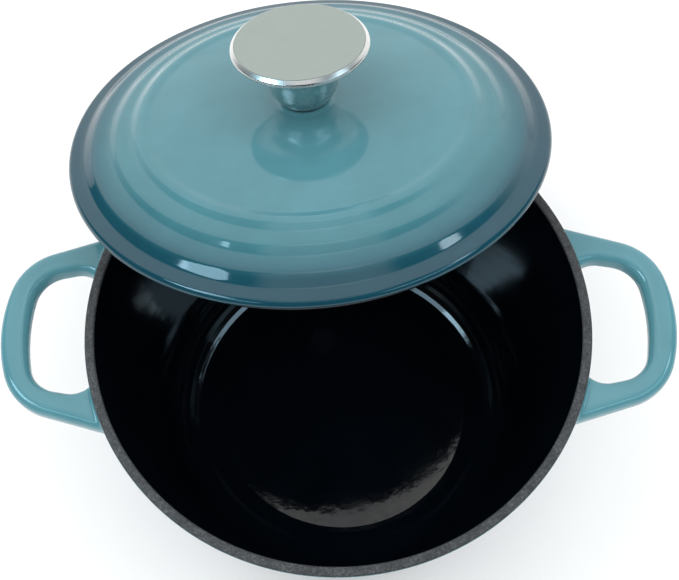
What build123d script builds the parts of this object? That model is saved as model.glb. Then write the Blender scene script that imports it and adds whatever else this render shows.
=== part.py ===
"""Enamelled cast iron dutch oven: a round pot with two loop handles and a stepped, domed lid.

All lengths are in millimetres and all angles in degrees. The origin is the centre of the
pot's foot, on the surface that it stands on, and +Z is up. The handles point along +X and -X.

The lid is stored lifted and leaning over the back of the pot. It is drawn in its own frame,
whose origin is the centre of its widest circle and whose Z axis is its axis of revolution.
"""
from build123d import *
import os
from math import cos, radians, sin, sqrt, tan

# ---- pot ------------------------------------------------------------------------------------
POT_HEIGHT = 115.0
RIM_RADIUS = 100.0
WALL = 4.0
FLOOR = 4.5
DRAFT_ANGLE = 11.0            # lean of the wall, from the vertical
RIM_EDGE_ROUND = 0.9
OUTER_BASE_ROUND = 24.0
INNER_BASE_ROUND = 21.0
FOOT_RING_RADIUS = 58.0
FOOT_RING_WIDTH = 5.0
FOOT_RING_HEIGHT = 1.2
FOOT_RING_ROUND = 0.5

# ---- loop handles, cast in one piece with the pot -------------------------------------------
HANDLE_REACH = 134.2          # from the pot's axis to the outside of the loop
HANDLE_BAR = 11.1             # width of the bar on the loop's outer side
HANDLE_THICK = 9.4
HANDLE_BELOW_RIM = 2.8        # from the rim's plane down to the handle's upper face
HANDLE_ROOT_RADIUS = 96.6     # the loop's ends lie inside the pot's wall
HANDLE_ROOT = (86.7, 42.6)
HANDLE_CORNER = (125.9, 31.0)
HANDLE_CORNER_ROUND = 24.0
GRIP_ROOT = (94.5, 27.8)      # the opening widens towards the wall by its root round
GRIP_ROOT_ROUND = 10.0
GRIP_CORNER = (119.4, 23.3)
GRIP_CORNER_ROUND = 13.0
HANDLE_EDGE_ROUND = 3.4
HANDLE_ROOT_ROUND = 1.6

# ---- lid ------------------------------------------------------------------------------------
LID_RADIUS = 98.0
LID_EDGE_HALF = 2.0           # half of the flange's thickness
LID_TOP_EDGE_ROUND = 2.6
LID_EDGE_ROUND = 1.2
RIB_RADIUS = 93.8             # locating rib, which drops inside the pot's rim
RIB_WIDTH = 3.8
RIB_DEPTH = 5.0
RIB_EDGE_ROUND = 1.0
LID_BORE_RADIUS = 3.5
SEAT_RADIUS = 10.4            # flat seat under the knob
SEAT_HEIGHT = 18.4
DOME_TOP = (12.0, 17.8)
DOME_EDGE = (63.2, 13.35)
DOME_RADIUS = 400.0
DOME_EDGE_ROUND = 7.0
CREST = (66.9, 14.0)
CREST_ROUND = 5.0
# From the crest outwards: each step's foot, and the next one's shoulder, as (radius, height).
STEPS = [
    (71.6, 10.9),
    (76.2, 10.1), (80.9, 7.0),
    (86.8, 6.1), (92.2, 2.2),
]
STEP_ROUNDS = [8.0, 8.0, 8.0, 8.0, 7.0]
SCREW_SEAT_RADIUS = 9.0
SCREW_SEAT_HEIGHT = 13.6      # flat face under the lid, where the screw's washer bears
UNDERSIDE_TOP = (60.0, 9.5)
UNDERSIDE_SLOPE_TOP = (66.0, 9.0)
UNDERSIDE_SLOPE_FOOT = (88.6, -0.6)
UNDERSIDE_ROUND = 6.0
RIB_ROOT_ROUND = 2.0

# ---- where the lid is held, lifted off the pot ----------------------------------------------
LID_OFFSET = (-10.4, 77.6)    # its centre, left of and behind the pot's axis
LID_ABOVE_RIM = 12.4
LID_TILT = 22.4               # its axis, from the vertical
LID_LEAN = 96.5               # the direction its axis leans in, anticlockwise from +X

# ---- knob and its fixing --------------------------------------------------------------------
GASKET_THICK = 0.6
GASKET_RADIUS = 9.6
KNOB_HEIGHT = 26.1
KNOB_RADIUS = 27.1
KNOB_SHEET = 1.2
CAP_RADIUS = 25.4
CAP_THICK = 1.2
CAP_SEAM = 0.1                # gap round the cap, where it sits in the bell's rim
CAP_LEDGE = 1.8               # width of the ledge that the cap lies on
CAP_EDGE_ROUND = 0.3
KNOB_BEVEL_DROP = 1.4
KNOB_BAND_DROP = 2.6          # down to the lower end of the knob's upright outer band
NECK_FOOT_RADIUS = 10.2
NECK_WAIST = (13.3, 4.8)      # radius and height of the neck's cup, above the knob's foot
NECK_WAIST_ROUND = 5.0
NECK_FOOT_ROUND = 1.0
FLARE_CENTRE = (27.7, 10.0)   # centre of the arc that flares from the neck to the rim
FLARE_RADIUS = 13.5
BUSH_RADIUS = 6.5
BUSH_SPIGOT_RADIUS = 4.9
BUSH_LENGTH = 14.0
BUSH_BORE_RADIUS = 3.05
BUSH_EDGE = 0.6
SCREW_RADIUS = 3.0
SCREW_REACH = 11.0            # length of screw above the knob's foot
SCREW_TIP = 0.6
SCREW_HEAD_RADIUS = 6.0
SCREW_HEAD_HEIGHT = 3.8
SCREW_HEAD_ROUND = 1.6
SLOT_WIDTH = 1.4
SLOT_DEPTH = 1.7
WASHER_RADIUS = 7.0
WASHER_BORE_RADIUS = 3.2
WASHER_THICK = 1.6
LOCK_WASHER_RADIUS = 5.6
LOCK_WASHER_THICK = 1.6
LOCK_WASHER_GAP = 1.2

os.makedirs("parts", exist_ok=True)

base_height = FOOT_RING_HEIGHT
floor_height = base_height + FLOOR
handle_foot = POT_HEIGHT - HANDLE_BELOW_RIM - HANDLE_THICK
knob_foot = SEAT_HEIGHT + GASKET_THICK
knob_top = knob_foot + KNOB_HEIGHT

# The lid's own frame, and a radial section of it: sketch X is the radius, sketch Y the height.
lean_x = sin(radians(LID_TILT)) * cos(radians(LID_LEAN))
lean_y = sin(radians(LID_TILT)) * sin(radians(LID_LEAN))
lean_z = cos(radians(LID_TILT))
lid_frame = Plane(
    origin=(*LID_OFFSET, POT_HEIGHT + LID_ABOVE_RIM),
    x_dir=(lean_z, 0, -lean_x),
    z_dir=(lean_x, lean_y, lean_z),
)
lid_section = Plane(lid_frame.origin, x_dir=lid_frame.x_dir, z_dir=-lid_frame.y_dir)
lid_axis = Axis(lid_frame.origin, lid_frame.z_dir)


def wall_radius(height, inset=0.0):
    """Radius of the leaning wall at a height, measured inset from its outer face."""
    return RIM_RADIUS - inset - (POT_HEIGHT - height) * tan(radians(DRAFT_ANGLE))


# ---- pot: the bowl, its foot ring and both loop handles in one casting ----------------------
with BuildSketch(Plane.XY.offset(handle_foot)) as loop_outline:
    with BuildLine():
        ThreePointArc((HANDLE_CORNER[0], -HANDLE_CORNER[1]), (HANDLE_REACH, 0), HANDLE_CORNER)
        Line(HANDLE_CORNER, HANDLE_ROOT)
        RadiusArc(HANDLE_ROOT, (HANDLE_ROOT[0], -HANDLE_ROOT[1]), HANDLE_ROOT_RADIUS)
        Line((HANDLE_ROOT[0], -HANDLE_ROOT[1]), (HANDLE_CORNER[0], -HANDLE_CORNER[1]))
    make_face()
    fillet(loop_outline.vertices().group_by(Axis.X)[-1], HANDLE_CORNER_ROUND)

grip_reach = HANDLE_REACH - HANDLE_BAR
with BuildSketch(Plane.XY.offset(handle_foot)) as grip_outline:
    with BuildLine():
        ThreePointArc((GRIP_CORNER[0], -GRIP_CORNER[1]), (grip_reach, 0), GRIP_CORNER)
        Polyline(
            GRIP_CORNER,
            GRIP_ROOT,
            (GRIP_ROOT[0], -GRIP_ROOT[1]),
            (GRIP_CORNER[0], -GRIP_CORNER[1]),
        )
    make_face()
    fillet(grip_outline.vertices().group_by(Axis.X)[-1], GRIP_CORNER_ROUND)
    fillet(grip_outline.vertices().group_by(Axis.X)[0], GRIP_ROOT_ROUND)

with BuildPart() as handle_loop:
    extrude(loop_outline.sketch, amount=HANDLE_THICK)
    extrude(grip_outline.sketch, amount=HANDLE_THICK, mode=Mode.SUBTRACT)
    flat_faces = handle_loop.faces().filter_by(Axis.Z)
    bar_edges = [e for e in flat_faces.edges() if e.center().X > HANDLE_ROOT_RADIUS]
    fillet(bar_edges, HANDLE_EDGE_ROUND)

with BuildPart() as pot:
    with BuildSketch(Plane.XZ):
        with BuildLine():
            FilletPolyline(
                (0, base_height),
                (wall_radius(base_height), base_height),
                (RIM_RADIUS, POT_HEIGHT),
                (RIM_RADIUS - WALL, POT_HEIGHT),
                (wall_radius(floor_height, WALL), floor_height),
                (0, floor_height),
                radius=[OUTER_BASE_ROUND, RIM_EDGE_ROUND, RIM_EDGE_ROUND, INNER_BASE_ROUND],
            )
            Line((0, floor_height), (0, base_height))
        make_face()
    revolve(axis=Axis.Z)
    with BuildSketch(Plane.XY):
        Circle(FOOT_RING_RADIUS)
        Circle(FOOT_RING_RADIUS - FOOT_RING_WIDTH, mode=Mode.SUBTRACT)
    extrude(amount=base_height + FLOOR / 2)
    fillet(pot.edges().group_by(Axis.Z)[0], FOOT_RING_ROUND)
    add(handle_loop.part)
    mirror(handle_loop.part, about=Plane.YZ)
    outer_wall = pot.faces().filter_by(GeomType.CONE).sort_by(SortBy.AREA)[-1]
    fillet(outer_wall.inner_wires().edges(), HANDLE_ROOT_ROUND)
pot.part.label = "pot"
export_step(pot.part, "parts/pot.step")

# ---- lid: flange, locating rib, three rounded steps and a shallow dome -----------------------
with BuildPart() as lid:
    with BuildSketch(lid_section) as lid_profile:
        with BuildLine():
            FilletPolyline(
                DOME_EDGE,
                CREST,
                *STEPS,
                (LID_RADIUS, LID_EDGE_HALF),
                (LID_RADIUS, -LID_EDGE_HALF),
                (RIB_RADIUS, -LID_EDGE_HALF),
                (RIB_RADIUS, -LID_EDGE_HALF - RIB_DEPTH),
                (RIB_RADIUS - RIB_WIDTH, -LID_EDGE_HALF - RIB_DEPTH),
                UNDERSIDE_SLOPE_FOOT,
                UNDERSIDE_SLOPE_TOP,
                UNDERSIDE_TOP,
                radius=[
                    CREST_ROUND,
                    *STEP_ROUNDS,
                    LID_TOP_EDGE_ROUND,
                    LID_EDGE_ROUND,
                    RIB_EDGE_ROUND,
                    RIB_EDGE_ROUND,
                    RIB_EDGE_ROUND,
                    RIB_ROOT_ROUND,
                    UNDERSIDE_ROUND,
                ],
            )
            Polyline(
                UNDERSIDE_TOP,
                (SCREW_SEAT_RADIUS, SCREW_SEAT_HEIGHT),
                (LID_BORE_RADIUS, SCREW_SEAT_HEIGHT),
                (LID_BORE_RADIUS, SEAT_HEIGHT),
                (SEAT_RADIUS, SEAT_HEIGHT),
                DOME_TOP,
            )
            RadiusArc(DOME_TOP, DOME_EDGE, DOME_RADIUS)
        make_face()
        fillet(lid_profile.vertices().sort_by_distance(DOME_EDGE)[0], DOME_EDGE_ROUND)
    revolve(axis=lid_axis)
lid.part.label = "lid"
export_step(lid.part, "parts/lid.step")

# ---- knob: a hollow bell with a flared rim, closed by a flat cap -----------------------------
cap_foot = knob_top - CAP_THICK
flare_height = knob_foot + FLARE_CENTRE[1]
throat_radius = FLARE_CENTRE[0] - FLARE_RADIUS
band_height = knob_top - KNOB_BAND_DROP
ledge_radius = CAP_RADIUS - CAP_LEDGE
inner_flare = FLARE_RADIUS + KNOB_SHEET
ledge_drop = sqrt(inner_flare**2 - (FLARE_CENTRE[0] - ledge_radius) ** 2)

with BuildPart() as knob_bell:
    with BuildSketch(lid_section) as bell_profile:
        with BuildLine():
            FilletPolyline(
                (BUSH_SPIGOT_RADIUS + CAP_SEAM, knob_foot),
                (NECK_FOOT_RADIUS, knob_foot),
                (NECK_WAIST[0], knob_foot + NECK_WAIST[1]),
                (throat_radius, flare_height),
                radius=[NECK_FOOT_ROUND, NECK_WAIST_ROUND],
            )
            RadiusArc((throat_radius, flare_height), (KNOB_RADIUS, band_height), FLARE_RADIUS)
            Polyline(
                (KNOB_RADIUS, band_height),
                (KNOB_RADIUS, knob_top - KNOB_BEVEL_DROP),
                (CAP_RADIUS + CAP_SEAM, knob_top),
                (CAP_RADIUS + CAP_SEAM, cap_foot),
                (ledge_radius, cap_foot),
                (ledge_radius, flare_height + ledge_drop),
            )
            RadiusArc(
                (ledge_radius, flare_height + ledge_drop),
                (throat_radius - KNOB_SHEET, flare_height),
                -inner_flare,
            )
            Polyline(
                (throat_radius - KNOB_SHEET, flare_height),
                (NECK_WAIST[0] - KNOB_SHEET, knob_foot + NECK_WAIST[1]),
                (NECK_FOOT_RADIUS - KNOB_SHEET, knob_foot + KNOB_SHEET),
                (BUSH_SPIGOT_RADIUS + CAP_SEAM, knob_foot + KNOB_SHEET),
                (BUSH_SPIGOT_RADIUS + CAP_SEAM, knob_foot),
            )
        make_face()
    revolve(axis=lid_axis)
knob_bell.part.label = "knob_bell"
export_step(knob_bell.part, "parts/knob_bell.step")

with BuildPart() as knob_cap:
    with BuildSketch(lid_frame.offset(cap_foot)):
        Circle(CAP_RADIUS)
    extrude(amount=CAP_THICK)
    fillet(knob_cap.edges().sort_by(lid_axis)[-1], CAP_EDGE_ROUND)
knob_cap.part.label = "knob_cap"
export_step(knob_cap.part, "parts/knob_cap.step")

# ---- the knob's fixing: a threaded bush in its neck, and a screw from under the lid ----------
with BuildPart() as knob_bush:
    with BuildSketch(lid_frame.offset(knob_foot)):
        Circle(BUSH_SPIGOT_RADIUS)
    extrude(amount=KNOB_SHEET)
    with BuildSketch(lid_frame.offset(knob_foot + KNOB_SHEET)):
        Circle(BUSH_RADIUS)
    extrude(amount=BUSH_LENGTH)
    chamfer(knob_bush.edges().sort_by(lid_axis)[-1], BUSH_EDGE)
    with BuildSketch(lid_frame.offset(knob_foot)):
        Circle(BUSH_BORE_RADIUS)
    extrude(amount=KNOB_SHEET + BUSH_LENGTH, mode=Mode.SUBTRACT)
knob_bush.part.label = "knob_bush"
export_step(knob_bush.part, "parts/knob_bush.step")

with BuildPart() as knob_gasket:
    with BuildSketch(lid_frame.offset(SEAT_HEIGHT)):
        Circle(GASKET_RADIUS)
        Circle(LID_BORE_RADIUS, mode=Mode.SUBTRACT)
    extrude(amount=GASKET_THICK)
knob_gasket.part.label = "knob_gasket"
export_step(knob_gasket.part, "parts/knob_gasket.step")

washer_foot = SCREW_SEAT_HEIGHT - WASHER_THICK
lock_washer_foot = washer_foot - LOCK_WASHER_THICK
head_foot = lock_washer_foot - SCREW_HEAD_HEIGHT

with BuildPart() as screw_washer:
    with BuildSketch(lid_frame.offset(washer_foot)):
        Circle(WASHER_RADIUS)
        Circle(WASHER_BORE_RADIUS, mode=Mode.SUBTRACT)
    extrude(amount=WASHER_THICK)
screw_washer.part.label = "screw_washer"
export_step(screw_washer.part, "parts/screw_washer.step")

with BuildPart() as lock_washer:
    with BuildSketch(lid_frame.offset(lock_washer_foot)):
        Circle(LOCK_WASHER_RADIUS)
        Circle(WASHER_BORE_RADIUS, mode=Mode.SUBTRACT)
        with Locations((LOCK_WASHER_RADIUS / 2, 0)):
            Rectangle(LOCK_WASHER_RADIUS, LOCK_WASHER_GAP, mode=Mode.SUBTRACT)
    extrude(amount=LOCK_WASHER_THICK)
lock_washer.part.label = "lock_washer"
export_step(lock_washer.part, "parts/lock_washer.step")

with BuildPart() as knob_screw:
    with BuildSketch(lid_frame.offset(head_foot)):
        Circle(SCREW_HEAD_RADIUS)
    extrude(amount=SCREW_HEAD_HEIGHT)
    fillet(knob_screw.edges().sort_by(lid_axis)[0], SCREW_HEAD_ROUND)
    with BuildSketch(lid_frame.offset(head_foot)):
        Rectangle(2 * SCREW_HEAD_RADIUS, SLOT_WIDTH)
    extrude(amount=SLOT_DEPTH, mode=Mode.SUBTRACT)
    with BuildSketch(lid_frame.offset(lock_washer_foot)):
        Circle(SCREW_RADIUS)
    extrude(amount=knob_foot + SCREW_REACH - lock_washer_foot)
    chamfer(knob_screw.edges().sort_by(lid_axis)[-1], SCREW_TIP)
knob_screw.part.label = "knob_screw"
export_step(knob_screw.part, "parts/knob_screw.step")
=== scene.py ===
"""Looks for the enamelled cast iron dutch oven: a pot with two loop handles, and its lid.

The lathed surfaces are rebuilt here as clean meshes on the CAD's own dimensions, and the loop
handles as swept bars that flare into the pot's wall. Sizes in the tables are in millimetres.
"""
from math import acos, atan2, ceil, cos, hypot, pi, radians, sin, sqrt, tan

import bpy
from mathutils import Matrix, Vector


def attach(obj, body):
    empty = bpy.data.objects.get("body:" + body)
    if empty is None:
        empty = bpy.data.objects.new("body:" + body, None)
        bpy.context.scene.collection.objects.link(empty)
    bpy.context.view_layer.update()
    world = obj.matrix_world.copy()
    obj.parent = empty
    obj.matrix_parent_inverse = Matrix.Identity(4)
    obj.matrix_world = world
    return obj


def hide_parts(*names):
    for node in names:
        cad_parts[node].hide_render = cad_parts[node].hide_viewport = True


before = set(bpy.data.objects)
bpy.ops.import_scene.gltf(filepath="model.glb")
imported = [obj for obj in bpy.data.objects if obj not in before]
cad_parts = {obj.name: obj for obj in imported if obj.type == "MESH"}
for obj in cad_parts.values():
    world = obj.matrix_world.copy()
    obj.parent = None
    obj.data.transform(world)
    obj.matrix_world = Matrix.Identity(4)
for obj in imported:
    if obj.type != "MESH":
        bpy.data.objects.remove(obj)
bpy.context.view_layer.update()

MM = 0.001

# ---- sizes, as in the CAD --------------------------------------------------------------------
POT_HEIGHT = 115.0
RIM_RADIUS = 100.0
WALL = 4.0
DRAFT_ANGLE = 11.0
DRAFT = tan(radians(DRAFT_ANGLE))
OUTER_BASE_ROUND = 24.0
INNER_BASE_ROUND = 21.0
BASE = 1.2
FLOOR = 5.7
LID_CENTRE = (-10.4, 77.6, 127.4)
LID_TILT = radians(22.4)
LID_LEAN = radians(96.5)
RIM_EDGE_ROUND = 0.9
FOOT_RING = (53.0, 58.0)      # its inner and outer radius
FOOT_ROUND = 0.5
LID_RADIUS = 98.0
RIB_RADIUS = 93.8             # locating rib under the lid
RIB_INNER = 90.0
RIB_FOOT = -7.0
BORE_RADIUS = 3.5
SEAT = (10.4, 18.4)           # flat seat under the knob, as (radius, height)
SCREW_SEAT = (9.0, 13.6)
DOME_TOP = (12.0, 17.8)
DOME_EDGE = (63.2, 13.35)
DOME_RADIUS = 400.0
UNDERSIDE_TOP = (60.0, 9.5)
KNOB_FOOT = 19.0
KNOB_TOP = 45.1
KNOB_RADIUS = 27.1
CAP_RADIUS = 25.47
CAP_THICK = 1.2
LEDGE_RADIUS = 23.6
SHEET = 1.2                   # thickness of the knob's metal
NECK_RADIUS = 14.2
FLARE_FOOT = 10.0             # above the knob's foot
FLARE_HUB = 27.7              # radius of the centre of the flare's arc
FLARE_RADIUS = 13.5


def wall_radius(height, inset=0.0):
    """Radius of the pot's leaning wall, measured inset from its outer face."""
    return RIM_RADIUS - inset - (POT_HEIGHT - height) * DRAFT


def lid_place():
    """The lid's own frame: Z along its axis, origin at the centre of its widest circle."""
    z = Vector((sin(LID_TILT) * cos(LID_LEAN), sin(LID_TILT) * sin(LID_LEAN), cos(LID_TILT)))
    x = Vector((z.z, 0, -z.x)).normalized()
    y = z.cross(x)
    place = Matrix((x, y, z)).transposed().to_4x4()
    place.translation = Vector(LID_CENTRE) * MM
    return place


# ---- outlines and meshes ---------------------------------------------------------------------
def rounded(corners, turn=7.0):
    """Points along straight runs joined by arcs. Each corner is (x, y) or (x, y, radius)."""
    points = []
    for i, corner in enumerate(corners):
        p = Vector(corner[:2])
        radius = corner[2] if len(corner) > 2 else 0
        if not radius:
            points.append(p)
            continue
        to_last = (Vector(corners[i - 1][:2]) - p).normalized()
        to_next = (Vector(corners[i + 1][:2]) - p).normalized()
        half = acos(max(-1, min(1, to_last.dot(to_next)))) / 2
        centre = p + (to_last + to_next).normalized() * radius / sin(half)
        start = p + to_last * radius / tan(half) - centre
        sweep = pi - 2 * half
        if start.cross(p - centre) < 0:
            sweep = -sweep
        steps = max(2, ceil(abs(sweep) / radians(turn)))
        for k in range(steps + 1):
            a = sweep * k / steps
            spun = (start.x * cos(a) - start.y * sin(a), start.x * sin(a) + start.y * cos(a))
            points.append(centre + Vector(spun))
    return points


def divided(points, longest=2.5, guard=0.3):
    """The same outline with its long runs divided, and a close point near each end of a run."""
    out = [points[0]]
    for a, b in zip(points, points[1:]):
        run = (b - a).length
        if run > 4 * guard:
            inner_a, inner_b = a.lerp(b, guard / run), b.lerp(a, guard / run)
            steps = max(1, ceil((run - 2 * guard) / longest))
            out += [inner_a.lerp(inner_b, k / steps) for k in range(steps + 1)]
        if run > 0.001:
            out.append(b)
    return out


def arc(start, end, radius, steps):
    """Points on the arc of that radius from start to end; a negative radius bows the other way."""
    a, b = Vector(start), Vector(end)
    chord = b - a
    across = Vector((-chord.y, chord.x)).normalized()
    rise = sqrt(radius**2 - chord.length_squared / 4)
    centre = (a + b) / 2 - across * rise * (1 if radius > 0 else -1)
    first = atan2(a.y - centre.y, a.x - centre.x)
    sweep = atan2(b.y - centre.y, b.x - centre.x) - first
    sweep = (sweep + pi) % (2 * pi) - pi
    turns = [first + sweep * k / steps for k in range(steps + 1)]
    return [centre + Vector((cos(t), sin(t))) * abs(radius) for t in turns]


def mesh_piece(name, verts, faces, place, body, nodes, slot, materials, paint=None):
    """A smooth mesh piece that rides on a body and stands for some CAD nodes.

    Its vertices are given in a frame of its own, kept as the attribute "local" for its material.
    """
    own = [Vector(v) * MM for v in verts]
    mesh = bpy.data.meshes.new(name)
    mesh.from_pydata([place @ v for v in own], [], faces)
    local = mesh.attributes.new("local", "FLOAT_VECTOR", "POINT")
    local.data.foreach_set("vector", [c for v in own for c in v])
    for m in materials:
        mesh.materials.append(m)
    for face in mesh.polygons:
        face.use_smooth = True
        if paint:
            face.material_index = paint(sum((Vector(verts[i]) for i in face.vertices), Vector())
                                        / len(face.vertices))
    piece = bpy.data.objects.new(name, mesh)
    bpy.context.scene.collection.objects.link(piece)
    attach(piece, body)
    if nodes:
        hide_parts(*nodes)
    return piece


def lathe(outline, around):
    """Vertices and faces of an outline of (radius, height) points turned round the Z axis."""
    closed = (outline[0] - outline[-1]).length < 0.001
    if closed:
        outline = outline[:-1]
    verts, rings = [], []
    for p in outline:
        if p.x < 0.01:
            rings.append([len(verts)] * around)
            verts.append((0, 0, p.y))
            continue
        rings.append(range(len(verts), len(verts) + around))
        turns = [2 * pi * k / around for k in range(around)]
        verts += [(p.x * cos(t), p.x * sin(t), p.y) for t in turns]
    pairs = list(zip(rings, rings[1:])) + ([(rings[-1], rings[0])] if closed else [])
    faces = []
    for low, high in pairs:
        for k in range(around):
            n = (k + 1) % around
            quad = (low[k], low[n], high[n], high[k])
            faces.append(tuple(dict.fromkeys(quad)))
    return verts, faces


# ---- shader helpers --------------------------------------------------------------------------
def node_maker(tree):
    """A function that adds a shader node to a tree, its inputs given as sockets or as values."""
    def node(kind, inputs=None, **settings):
        made = tree.nodes.new("ShaderNode" + kind)
        for key, value in settings.items():
            setattr(made, key, value)
        for key, value in (inputs or {}).items():
            if isinstance(value, bpy.types.NodeSocket):
                tree.links.new(value, made.inputs[key])
            else:
                made.inputs[key].default_value = value
        return made

    return node


def material(name, **sockets):
    """A new material with a Principled BSDF, its constant sockets set, and a node maker."""
    mat = bpy.data.materials.new(name)
    mat.use_nodes = True
    bsdf = mat.node_tree.nodes["Principled BSDF"]
    for socket, value in sockets.items():
        bsdf.inputs[socket.replace("_", " ")].default_value = value
    return mat, bsdf, node_maker(mat.node_tree)


def link(mat, source, target):
    mat.node_tree.links.new(source, target)


def ramp(node, source, stops):
    """A colour ramp on a socket. stops is a list of (position, (r, g, b))."""
    made = node("ValToRGB", {"Fac": source})
    elements = made.color_ramp.elements
    while len(elements) < len(stops):
        elements.new(0.5)
    for element, (position, colour) in zip(elements, stops):
        element.position = position
        element.color = (*colour, 1)
    return made.outputs["Color"]


def local_place(node):
    """The place on a piece in its own frame, as mesh_piece keeps it."""
    return node("Attribute", attribute_name="local").outputs["Vector"]


def noise(node, where, scale, detail=2.0, roughness=0.5):
    found = node("TexNoise", {"Vector": where, "Scale": scale, "Detail": detail,
                              "Roughness": roughness})
    return found.outputs["Fac"]


def spread(node, source, low, high, from_low=0.0, from_high=1.0):
    """A socket's range mapped on to low..high."""
    return node("MapRange", {"Value": source, "From Min": from_low, "From Max": from_high,
                             "To Min": low, "To Max": high}).outputs["Result"]


def shaded(node, colour, factor):
    """A colour socket brightened or darkened by a factor socket."""
    return node("VectorMath", {0: colour, 1: factor}, operation="MULTIPLY").outputs["Vector"]


def bumped(mat, bsdf, node, layers):
    """Chained bumps. layers is a list of (height socket, depth in millimetres, strength)."""
    normal = None
    for height, depth, strength in layers:
        inputs = {"Height": height, "Distance": depth * MM, "Strength": strength}
        if normal:
            inputs["Normal"] = normal
        normal = node("Bump", inputs).outputs["Normal"]
    link(mat, normal, bsdf.inputs["Normal"])


# ---- materials -------------------------------------------------------------------------------
def teal_enamel(name, stops, measure, span):
    """Glossy enamel whose colour runs through the stops as a measured length grows to span mm."""
    mat, bsdf, node = material(name, IOR=1.5)
    where = local_place(node)
    length = measure(node, where)
    tone = spread(node, length, 0.0, 1.0, 0.0, span * MM)
    colour = ramp(node, tone, stops)
    mottle = noise(node, where, 55.0, 4.0, 0.6)
    colour = shaded(node, colour, spread(node, mottle, 0.94, 1.06, 0.3, 0.7))
    # Painted highlight and shade: the enamel's colour is lightened on convex edges and darkened in
    # creases, by the surface's pointiness.
    edge = node("NewGeometry").outputs["Pointiness"]
    colour = shaded(node, colour, spread(node, edge, 0.93, 1.12, 0.46, 0.56))
    link(mat, colour, bsdf.inputs["Base Color"])
    haze = noise(node, where, 30.0, 3.0)
    link(mat, spread(node, haze, 0.05, 0.09, 0.3, 0.7), bsdf.inputs["Roughness"])
    ripple = noise(node, where, 130.0, 2.0)
    skin = noise(node, where, 420.0, 2.0)
    bumped(mat, bsdf, node, [(ripple, 0.10, 0.10), (skin, 0.03, 0.10)])
    return mat


def from_axis(node, where):
    """Distance from the Z axis."""
    flat = node("VectorMath", {0: where, 1: (1, 1, 0)}, operation="MULTIPLY").outputs["Vector"]
    return node("VectorMath", {0: flat}, operation="LENGTH").outputs["Value"]


def up_axis(node, where):
    return node("SeparateXYZ", {"Vector": where}).outputs["Z"]


# The lid's middle teal is the enamel's own colour. The darkening from about 65 mm out, over the steps
# and the flange, is painted shade: it stands in for the dark room that the sloping steps reflect.
lid_enamel_edge_shade = teal_enamel("enamel_lid", [
    (0.00, (0.067, 0.207, 0.246)),
    (0.66, (0.069, 0.207, 0.244)),
    (0.77, (0.050, 0.172, 0.204)),
    (0.87, (0.022, 0.104, 0.136)),
    (0.91, (0.007, 0.056, 0.082)),
    (1.00, (0.005, 0.046, 0.070)),
], from_axis, 98.0)
# The pot's outside is coloured darker towards its bottom, by height.
pot_enamel = teal_enamel("enamel_pot", [
    (0.00, (0.026, 0.085, 0.125)),
    (0.40, (0.045, 0.150, 0.190)),
    (0.80, (0.074, 0.222, 0.262)),
    (1.00, (0.078, 0.228, 0.270)),
], up_axis, 115.0)


def black_enamel():
    mat, bsdf, node = material("enamel_black", IOR=1.5)
    where = local_place(node)
    cloud = noise(node, where, 40.0, 3.0)
    colour = ramp(node, cloud, [(0.3, (0.0010, 0.0028, 0.0055)), (0.7, (0.0016, 0.0040, 0.0075))])
    link(mat, colour, bsdf.inputs["Base Color"])
    link(mat, spread(node, cloud, 0.05, 0.10, 0.3, 0.7), bsdf.inputs["Roughness"])
    # The floor ripples more than the wall.
    peel = noise(node, where, 210.0, 2.0)
    calm = spread(node, up_axis(node, where), 1.0, 0.15, 8 * MM, 26 * MM)
    peel = node("Math", {0: peel, 1: calm}, operation="MULTIPLY").outputs[0]
    skin = noise(node, where, 700.0, 2.0)
    bumped(mat, bsdf, node, [(peel, 0.20, 0.24), (skin, 0.02, 0.12)])
    return mat


def bare_iron():
    """The matte, grainy band that is left on the rim."""
    mat, bsdf, node = material("rim_iron", IOR=1.5)
    where = local_place(node)
    grain = noise(node, where, 1500.0, 3.0, 0.7)
    patch = noise(node, where, 160.0, 3.0)
    colour = ramp(node, grain, [
        (0.30, (0.013, 0.015, 0.017)),
        (0.52, (0.036, 0.039, 0.042)),
        (0.68, (0.090, 0.098, 0.102)),
    ])
    colour = shaded(node, colour, spread(node, patch, 0.8, 1.2, 0.3, 0.7))
    link(mat, colour, bsdf.inputs["Base Color"])
    link(mat, spread(node, grain, 0.72, 0.5, 0.3, 0.7), bsdf.inputs["Roughness"])
    bumped(mat, bsdf, node, [(patch, 0.05, 0.4), (grain, 0.06, 0.6)])
    return mat


def polished_steel():
    mat, bsdf, node = material("steel_polished", Metallic=1.0)
    where = local_place(node)
    fine = noise(node, where, 60.0, 4.0)
    parts = node("SeparateXYZ", {"Vector": where})
    radial = node("CombineXYZ", {"X": from_axis(node, where), "Z": parts.outputs["Z"]})
    lines = noise(node, radial.outputs["Vector"], 5200.0, 1.0)
    colour = ramp(node, fine, [(0.3, (0.62, 0.64, 0.63)), (0.7, (0.74, 0.75, 0.74))])
    link(mat, colour, bsdf.inputs["Base Color"])
    link(mat, spread(node, fine, 0.24, 0.34, 0.3, 0.7), bsdf.inputs["Roughness"])
    bumped(mat, bsdf, node, [(lines, 0.012, 0.6)])
    return mat


def matt_steel():
    """The cap's fine, dull finish, with faint clouds and a few shallow marks."""
    mat, bsdf, node = material("steel_matt", Metallic=1.0)
    where = local_place(node)
    cloud = noise(node, where, 90.0, 4.0, 0.6)
    grain = noise(node, where, 3000.0, 2.0)
    colour = ramp(node, cloud, [(0.3, (0.37, 0.41, 0.38)), (0.7, (0.42, 0.46, 0.43))])
    link(mat, colour, bsdf.inputs["Base Color"])
    link(mat, spread(node, cloud, 0.50, 0.60, 0.3, 0.7), bsdf.inputs["Roughness"])
    bumped(mat, bsdf, node, [(cloud, 0.03, 0.2), (grain, 0.01, 0.3)])
    return mat


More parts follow.
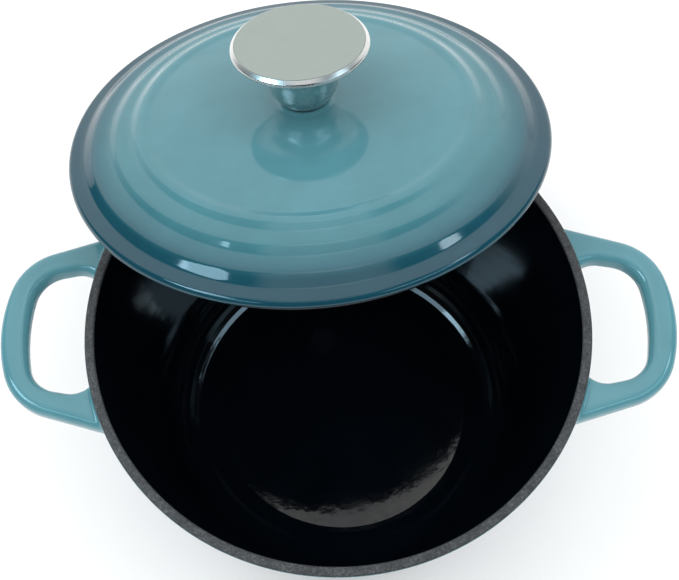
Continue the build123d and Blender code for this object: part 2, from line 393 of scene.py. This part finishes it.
def small_metal(name, dark, light, low, high):
    """Turned or pressed metal for the fixing under the lid."""
    mat, bsdf, node = material(name, Metallic=1.0)
    where = node("TexCoord").outputs["Object"]
    cloud = noise(node, where, 300.0, 4.0, 0.6)
    grain = noise(node, where, 2500.0, 2.0)
    link(mat, ramp(node, cloud, [(0.3, dark), (0.7, light)]), bsdf.inputs["Base Color"])
    link(mat, spread(node, cloud, low, high, 0.3, 0.7), bsdf.inputs["Roughness"])
    bumped(mat, bsdf, node, [(grain, 0.01, 0.3)])
    return mat


def gasket_rubber():
    mat, bsdf, node = material("gasket_rubber")
    where = node("TexCoord").outputs["Object"]
    grain = noise(node, where, 1200.0, 3.0)
    colour = ramp(node, grain, [(0.3, (0.010, 0.011, 0.012)), (0.7, (0.022, 0.023, 0.024))])
    link(mat, colour, bsdf.inputs["Base Color"])
    link(mat, spread(node, grain, 0.55, 0.7, 0.3, 0.7), bsdf.inputs["Roughness"])
    bumped(mat, bsdf, node, [(grain, 0.02, 0.3)])
    return mat


black = black_enamel()
rim_iron = bare_iron()
polished = polished_steel()
matt = matt_steel()

# ---- camera ----------------------------------------------------------------------------------
SCENE = bpy.context.scene
CAMERA_ELEVATION = radians(67.27)
CAMERA_AZIMUTH = radians(1.278)
CAMERA_ROLL = radians(-2.347)
CAMERA_DISTANCE = 511.41      # along its own view, from the centre of the pot's rim
CAMERA_OFFSET = (-0.72, 12.45)  # of the rim's centre in the picture: right and down

back = Vector((
    sin(CAMERA_AZIMUTH) * cos(CAMERA_ELEVATION),
    -cos(CAMERA_AZIMUTH) * cos(CAMERA_ELEVATION),
    sin(CAMERA_ELEVATION),
))
level = (-back).cross(Vector((0, 0, 1))).normalized()
upright = level.cross(-back)
right = level * cos(CAMERA_ROLL) + upright * sin(CAMERA_ROLL)
down = level * sin(CAMERA_ROLL) - upright * cos(CAMERA_ROLL)
eye = Vector((0, 0, POT_HEIGHT)) + back * CAMERA_DISTANCE
eye -= right * CAMERA_OFFSET[0] + down * CAMERA_OFFSET[1]

camera = bpy.data.objects.new("camera", bpy.data.cameras.new("camera"))
camera.data.sensor_width = 36.0
camera.data.lens = 68.93
camera.data.clip_start = 0.01
camera.data.clip_end = 50.0
SCENE.collection.objects.link(camera)
turned = Matrix((right, -down, back)).transposed().to_4x4()
turned.translation = eye * MM
camera.matrix_world = turned
SCENE.camera = camera
SCENE.view_settings.view_transform = "Standard"

# ---- studio ----------------------------------------------------------------------------------
ground = bpy.data.meshes.new("floor")
FLOOR_HALF = 6.0              # metres
corners = [(x * FLOOR_HALF, y * FLOOR_HALF, 0) for x, y in ((-1, -1), (1, -1), (1, 1), (-1, 1))]
ground.from_pydata(corners, [], [(0, 1, 2, 3)])
floor = bpy.data.objects.new("floor", ground)
SCENE.collection.objects.link(floor)
paper, paper_bsdf, paper_node = material("backdrop_paper", Roughness=0.9)
fibre = noise(paper_node, paper_node("TexCoord").outputs["Object"], 12.0, 3.0)
link(paper, ramp(paper_node, fibre, [(0.3, (0.94, 0.94, 0.94)), (0.7, (0.96, 0.96, 0.96))]),
     paper_bsdf.inputs["Base Color"])
ground.materials.append(paper)


def softbox(name, azimuth, elevation, distance, size, radiance, colour, aim=(0, 0.04, 0.12)):
    """A rectangular lamp. Azimuth 0 is behind the pot and 90 is to its right, in degrees."""
    a, e = radians(azimuth), radians(elevation)
    towards = Vector((sin(a) * cos(e), cos(a) * cos(e), sin(e)))
    lamp = bpy.data.lights.new(name, "AREA")
    lamp.shape = "RECTANGLE"
    lamp.size, lamp.size_y = size
    lamp.energy = radiance * pi * size[0] * size[1]
    lamp.color = colour
    held = bpy.data.objects.new(name, lamp)
    held.location = Vector(aim) + towards * distance
    held.rotation_mode = "QUATERNION"
    held.rotation_quaternion = (-towards).to_track_quat("-Z", "Y")
    held.visible_camera = False
    SCENE.collection.objects.link(held)
    return held


for card in (
    softbox("card_left", -98, 50, 1.3, (0.50, 0.42), 9.0, (0.52, 0.82, 1.0)),
    softbox("card_right", 79, 49, 1.3, (0.17, 0.17), 9.0, (0.70, 0.90, 1.0)),
    softbox("strip_left", -116, 47, 1.3, (1.10, 0.16), 5.2, (0.52, 0.80, 1.0)),
    softbox("strip_right", 112, 47, 1.3, (1.20, 0.16), 5.2, (0.52, 0.80, 1.0)),
):
    card.visible_diffuse = False
for key in (
    softbox("key_left", -70, 50, 1.6, (1.0, 1.0), 2.4, (1.0, 1.0, 1.0)),
    softbox("key_right", 75, 50, 1.6, (1.0, 1.0), 1.8, (1.0, 1.0, 1.0)),
):
    key.visible_glossy = False

world = bpy.data.worlds.new("studio")
world.use_nodes = True
SCENE.world = world
sky = world.node_tree
sky_node = node_maker(sky)


def panel(towards, azimuth, elevation, inner, outer):
    """1 within inner degrees of a direction, falling to 0 at outer degrees."""
    a, e = radians(azimuth), radians(elevation)
    aim = (sin(a) * cos(e), cos(a) * cos(e), sin(e))
    near = sky_node("VectorMath", {0: towards, 1: aim}, operation="DOT_PRODUCT").outputs["Value"]
    return sky_node("MapRange", {
        "Value": near, "From Min": cos(radians(outer)), "From Max": cos(radians(inner)),
    }, interpolation_type="SMOOTHSTEP").outputs["Result"]


AMBIENT = 1.10                # what matt surfaces see of the room, from every side
towards = sky_node("TexCoord", {}).outputs["Generated"]
backdrop = panel(towards, 0, 22, 50, 58)
ceiling = panel(towards, 0, 90, 16, 24)
room = sky_node("Math", {0: backdrop, 1: 1.26, 2: 0.03}, operation="MULTIPLY_ADD").outputs[0]
room = sky_node("Math", {0: ceiling, 1: 0.9, 2: room}, operation="MULTIPLY_ADD").outputs[0]
rays = sky_node("LightPath", {}).outputs
ambient = sky_node("Math", {0: rays["Is Diffuse Ray"], 1: rays["Is Camera Ray"]}).outputs[0]
lit = sky_node("Mix", {"Factor": ambient, 2: room, 3: AMBIENT}).outputs[0]
sky.links.new(lit, sky.nodes["Background"].inputs["Strength"])
sky.nodes["Background"].inputs["Color"].default_value = (1, 1, 1, 1)

# ---- lid -------------------------------------------------------------------------------------
at_lid = lid_place()
AROUND = 224
SLOPE_RADIUS = 66             # where the lid starts to fall towards its edge

dome = arc(DOME_TOP, DOME_EDGE, DOME_RADIUS, 26)
lid_top = divided(rounded([
    tuple(dome[-2]), (*DOME_EDGE, 7.0), (66.9, 14.0, 5.0), (71.6, 10.9, 8.0),
    (76.2, 10.1, 8.0), (80.9, 7.0, 8.0), (86.8, 6.1, 8.0), (92.0, 2.3, 6.0),
    (LID_RADIUS, 1.3, 2.4), (LID_RADIUS, -2.0, 1.2),
    (RIB_RADIUS, -2.0, 1.0), (RIB_RADIUS, RIB_FOOT, 1.0), (RIB_INNER, RIB_FOOT, 1.0),
    (88.6, -0.6, 2.0), (66.0, 9.0, 6.0), UNDERSIDE_TOP,
], 3.0))
under_side = divided([Vector(p) for p in [
    UNDERSIDE_TOP, SCREW_SEAT, (BORE_RADIUS, SCREW_SEAT[1]), (BORE_RADIUS, SEAT[1]), SEAT,
    DOME_TOP,
]])
lid_outline = dome[:-2] + lid_top + under_side[1:]


def lid_paint(p):
    """0 teal on top, 1 black underneath, 2 bare iron where the lid rests on the rim."""
    radius = hypot(p.x, p.y)
    if radius > RIB_RADIUS:
        return 2 if p.z < -1.9 else 0
    # A line through the middle of the iron: nearly level under the dome, then falling.
    if radius < SLOPE_RADIUS:
        middle = 14.5 - 0.02 * radius
    else:
        middle = 12.0 - (radius - SLOPE_RADIUS) * 0.49
    return 1 if p.z < middle else 0


mesh_piece("lid_enamelled", *lathe(lid_outline[::-1], AROUND), at_lid, "lid", ["lid"], "enamel",
           [lid_enamel_edge_shade, black, rim_iron], lid_paint)

# ---- knob ------------------------------------------------------------------------------------
f = KNOB_FOOT
band = KNOB_TOP - 2.6
thin = FLARE_RADIUS + SHEET
flare = arc((NECK_RADIUS, f + FLARE_FOOT), (KNOB_RADIUS, band), FLARE_RADIUS, 20)
ledge = (LEDGE_RADIUS, f + FLARE_FOOT + sqrt(thin**2 - (FLARE_HUB - LEDGE_RADIUS) ** 2))
inner_flare = arc(ledge, (FLARE_HUB - thin, f + FLARE_FOOT), -thin, 16)
bell_outline = divided(rounded([
    (5.0, f), (10.2, f, 1.0), (13.3, f + 4.8, 5.0), (NECK_RADIUS, f + FLARE_FOOT),
]), 1.5, 0.15)
bell_outline += flare[1:]
bell_outline += divided(rounded([
    (KNOB_RADIUS, band), (KNOB_RADIUS, KNOB_TOP - 1.4, 0.9), (25.5, KNOB_TOP, 0.12),
    (25.5, KNOB_TOP - CAP_THICK), (LEDGE_RADIUS, KNOB_TOP - CAP_THICK), ledge,
]), 1.5, 0.1)[1:]
bell_outline += inner_flare[1:]
bell_outline += [Vector(p) for p in [
    (12.1, f + 4.8), (9.0, f + SHEET), (5.0, f + SHEET), (5.0, f),
]]
mesh_piece("knob_bell_polished", *lathe(bell_outline, 160), at_lid, "lid", ["knob_bell"],
           "polished", [polished])

cap_outline = divided(rounded([
    (0.0, KNOB_TOP - CAP_THICK), (CAP_RADIUS, KNOB_TOP - CAP_THICK),
    (CAP_RADIUS, KNOB_TOP, 0.12), (0.0, KNOB_TOP),
]), 2.5, 0.1)
mesh_piece("knob_cap_matt", *lathe(cap_outline, 160), at_lid, "lid", ["knob_cap"], "brushed",
           [matt])

# ---- pot -------------------------------------------------------------------------------------
outer_base = wall_radius(BASE)
inner_base = wall_radius(FLOOR, WALL)
pot_outline = divided(rounded([
    (0.0, BASE), (FOOT_RING[0] - FOOT_ROUND, BASE, FOOT_ROUND),
    (FOOT_RING[0], 0.0, FOOT_ROUND), (FOOT_RING[1], 0.0, FOOT_ROUND),
    (FOOT_RING[1] + FOOT_ROUND, BASE, FOOT_ROUND),
    (outer_base, BASE, OUTER_BASE_ROUND), (RIM_RADIUS, POT_HEIGHT, RIM_EDGE_ROUND),
    (RIM_RADIUS - WALL, POT_HEIGHT, RIM_EDGE_ROUND),
    (inner_base, FLOOR, INNER_BASE_ROUND), (0.0, FLOOR),
]))


def pot_paint(p):
    """0 teal outside, 1 bare iron on the rim, 2 black inside."""
    if p.z > POT_HEIGHT - 0.5:
        return 1
    # The middle of the iron: its wall, its level base and the round between them.
    turn = (OUTER_BASE_ROUND + INNER_BASE_ROUND) / 2
    level = (BASE + FLOOR) / 2
    hub_height = level + turn
    hub_radius = wall_radius(hub_height, WALL / 2) - turn / cos(radians(DRAFT_ANGLE))
    radius = hypot(p.x, p.y)
    if p.z < hub_height and radius > hub_radius:
        return 2 if hypot(radius - hub_radius, p.z - hub_height) < turn else 0
    return 2 if p.z > level and radius < wall_radius(p.z, WALL / 2) else 0


mesh_piece("pot_bowl", *lathe(pot_outline, AROUND), Matrix(), "pot", ["pot"], "enamel",
           [pot_enamel, rim_iron, black], pot_paint)

# ---- loop handles ----------------------------------------------------------------------------
HANDLE_TOP = 112.2
HANDLE_FOOT = 102.8
HANDLE_EDGE = 3.4
ROOT_RADIUS = 96.6
ROOT_FLARE = 1.6
LOOP_REACH = 134.2
LOOP_CORNER = (125.9, 31.0)
LOOP_ROOT = (86.7, 42.6)
GRIP_REACH = 123.1
GRIP_CORNER = (119.4, 23.3)
GRIP_ROOT = (94.5, 27.8)


def half_loop(reach, corner, corner_round, root, root_points):
    """Half of a loop's outline in plan, as its arm, its corner and its bow to the middle."""
    corner, root = Vector(corner), Vector(root)
    rise = reach - corner.x
    bow = (corner.y**2 + rise**2) / (2 * rise)
    hub = Vector((reach - bow, 0))
    along = (root - corner).normalized()
    inward = Vector((along.y, -along.x))
    if inward.y > 0:
        inward = -inward
    # The corner's arc touches the arm's line, and the bow from inside.
    start = corner + inward * corner_round - hub
    b = start.dot(along)
    c = start.length_squared - (bow - corner_round) ** 2
    centre = hub + start + along * (-b - sqrt(b * b - c))
    on_arm = centre - inward * corner_round
    on_bow = hub + (centre - hub).normalized() * bow
    arm = [*root_points, on_arm]
    turn = atan2(on_bow.y, on_bow.x - hub.x)
    steps = 18
    middle = [hub + Vector((cos(turn * (1 - k / steps)), sin(turn * (1 - k / steps)))) * bow
              for k in range(1, steps + 1)]
    return arm, arc(on_arm, on_bow, corner_round, 16), middle


def at_radius(points, radius):
    """The point where an outline that runs outwards crosses a distance from the pot's axis."""
    for a, b in zip(points, points[1:]):
        if a.length <= radius <= b.length:
            return a.lerp(b, (radius - a.length) / (b.length - a.length))
    return points[-1] if radius > points[0].length else points[0]


def stations(outline, count=34):
    """An outline's points in order, its arm spaced evenly in distance from the pot's axis."""
    arm, corner, middle = outline
    last = arm[-1].length
    spaced = [at_radius(arm, ROOT_RADIUS + (last - ROOT_RADIUS) * (k / count) ** 1.5)
              for k in range(count)]
    return spaced + corner + middle


def root_flare(gap):
    """Extra size at a distance from the wall, for the rounded joint where a bar meets it."""
    if gap >= ROOT_FLARE:
        return 0.0
    gap = max(gap, 0.0)
    return ROOT_FLARE - sqrt(ROOT_FLARE**2 - (ROOT_FLARE - gap) ** 2)


outer_half = stations(half_loop(LOOP_REACH, LOOP_CORNER, 24.0, LOOP_ROOT, [Vector(LOOP_ROOT)]))
grip_arm = rounded([(GRIP_ROOT[0], 14.0), (*GRIP_ROOT, 10.0), GRIP_CORNER], 4.0)[1:-1]
inner_half = stations(half_loop(GRIP_REACH, GRIP_CORNER, 13.0, GRIP_ROOT, grip_arm))


def bar_section(inner, outer):
    """A closed ring of points round the bar between its inner and outer side."""
    across = outer - inner
    gap = (inner.length + outer.length) / 2 - wall_radius((HANDLE_TOP + HANDLE_FOOT) / 2)
    width = across.length + 2 * root_flare(gap)
    across.normalize()
    centre = (inner + outer) / 2
    half = width / 2 - HANDLE_EDGE
    ring = []
    for side_x, side_z, first in ((1, 1, 0), (-1, 1, 1), (-1, -1, 2), (1, -1, 3)):
        for k in range(9):
            t = (first + k / 8) * pi / 2
            level = HANDLE_TOP if side_z > 0 else HANDLE_FOOT
            plan = centre + across * (side_x * half + HANDLE_EDGE * cos(t))
            extra = root_flare(plan.length - wall_radius(level))
            z = level + side_z * (extra - HANDLE_EDGE) + HANDLE_EDGE * sin(t)
            ring.append((plan.x, plan.y, z))
        if side_x == side_z:
            runs = 5
            for k in range(1, runs):
                plan = centre + across * side_x * half * (1 - 2 * k / runs)
                extra = root_flare(plan.length - wall_radius(level))
                ring.append((plan.x, plan.y, level + side_z * extra))
    return ring


half_rings = [bar_section(a, b) for a, b in zip(inner_half, outer_half)]
# Past the middle, each ring is the mirror image of its partner.
far_rings = [[(x, -y, z) for x, y, z in ring] for ring in half_rings[-2::-1]]
rings = half_rings + far_rings
size = len(rings[0])
for side, name in ((1, "handle_right"), (-1, "handle_left")):
    verts = [(side * x, y, z) for ring in rings for x, y, z in ring]
    faces = []
    for n in range(len(rings) - 1):
        for k in range(size):
            m = (k + 1) % size
            quad = (n * size + k, n * size + m, (n + 1) * size + m, (n + 1) * size + k)
            faces.append(quad if side > 0 else quad[::-1])
    first = tuple(range(size))
    last = tuple(range((len(rings) - 1) * size, len(rings) * size))
    faces += [first[::-1], last] if side > 0 else [first, last[::-1]]
    mesh_piece(name, verts, faces, Matrix(), "pot", [], "enamel", [pot_enamel])

# ---- small parts, on the CAD's own shapes ----------------------------------------------------
for node_name, finish in (
    ("knob_bush", small_metal("aluminium_turned", (0.62, 0.63, 0.64), (0.72, 0.73, 0.74), 0.25, 0.4)),
    ("knob_gasket", gasket_rubber()),
    ("knob_screw", small_metal("screw_steel", (0.50, 0.50, 0.49), (0.62, 0.62, 0.60), 0.25, 0.4)),
    ("screw_washer", small_metal("washer_steel", (0.52, 0.53, 0.53), (0.66, 0.66, 0.65), 0.3, 0.45)),
    ("lock_washer", small_metal("spring_steel", (0.20, 0.20, 0.20), (0.32, 0.32, 0.31), 0.35, 0.5)),
):
    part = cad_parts[node_name]
    part.data.materials.clear()
    part.data.materials.append(finish)
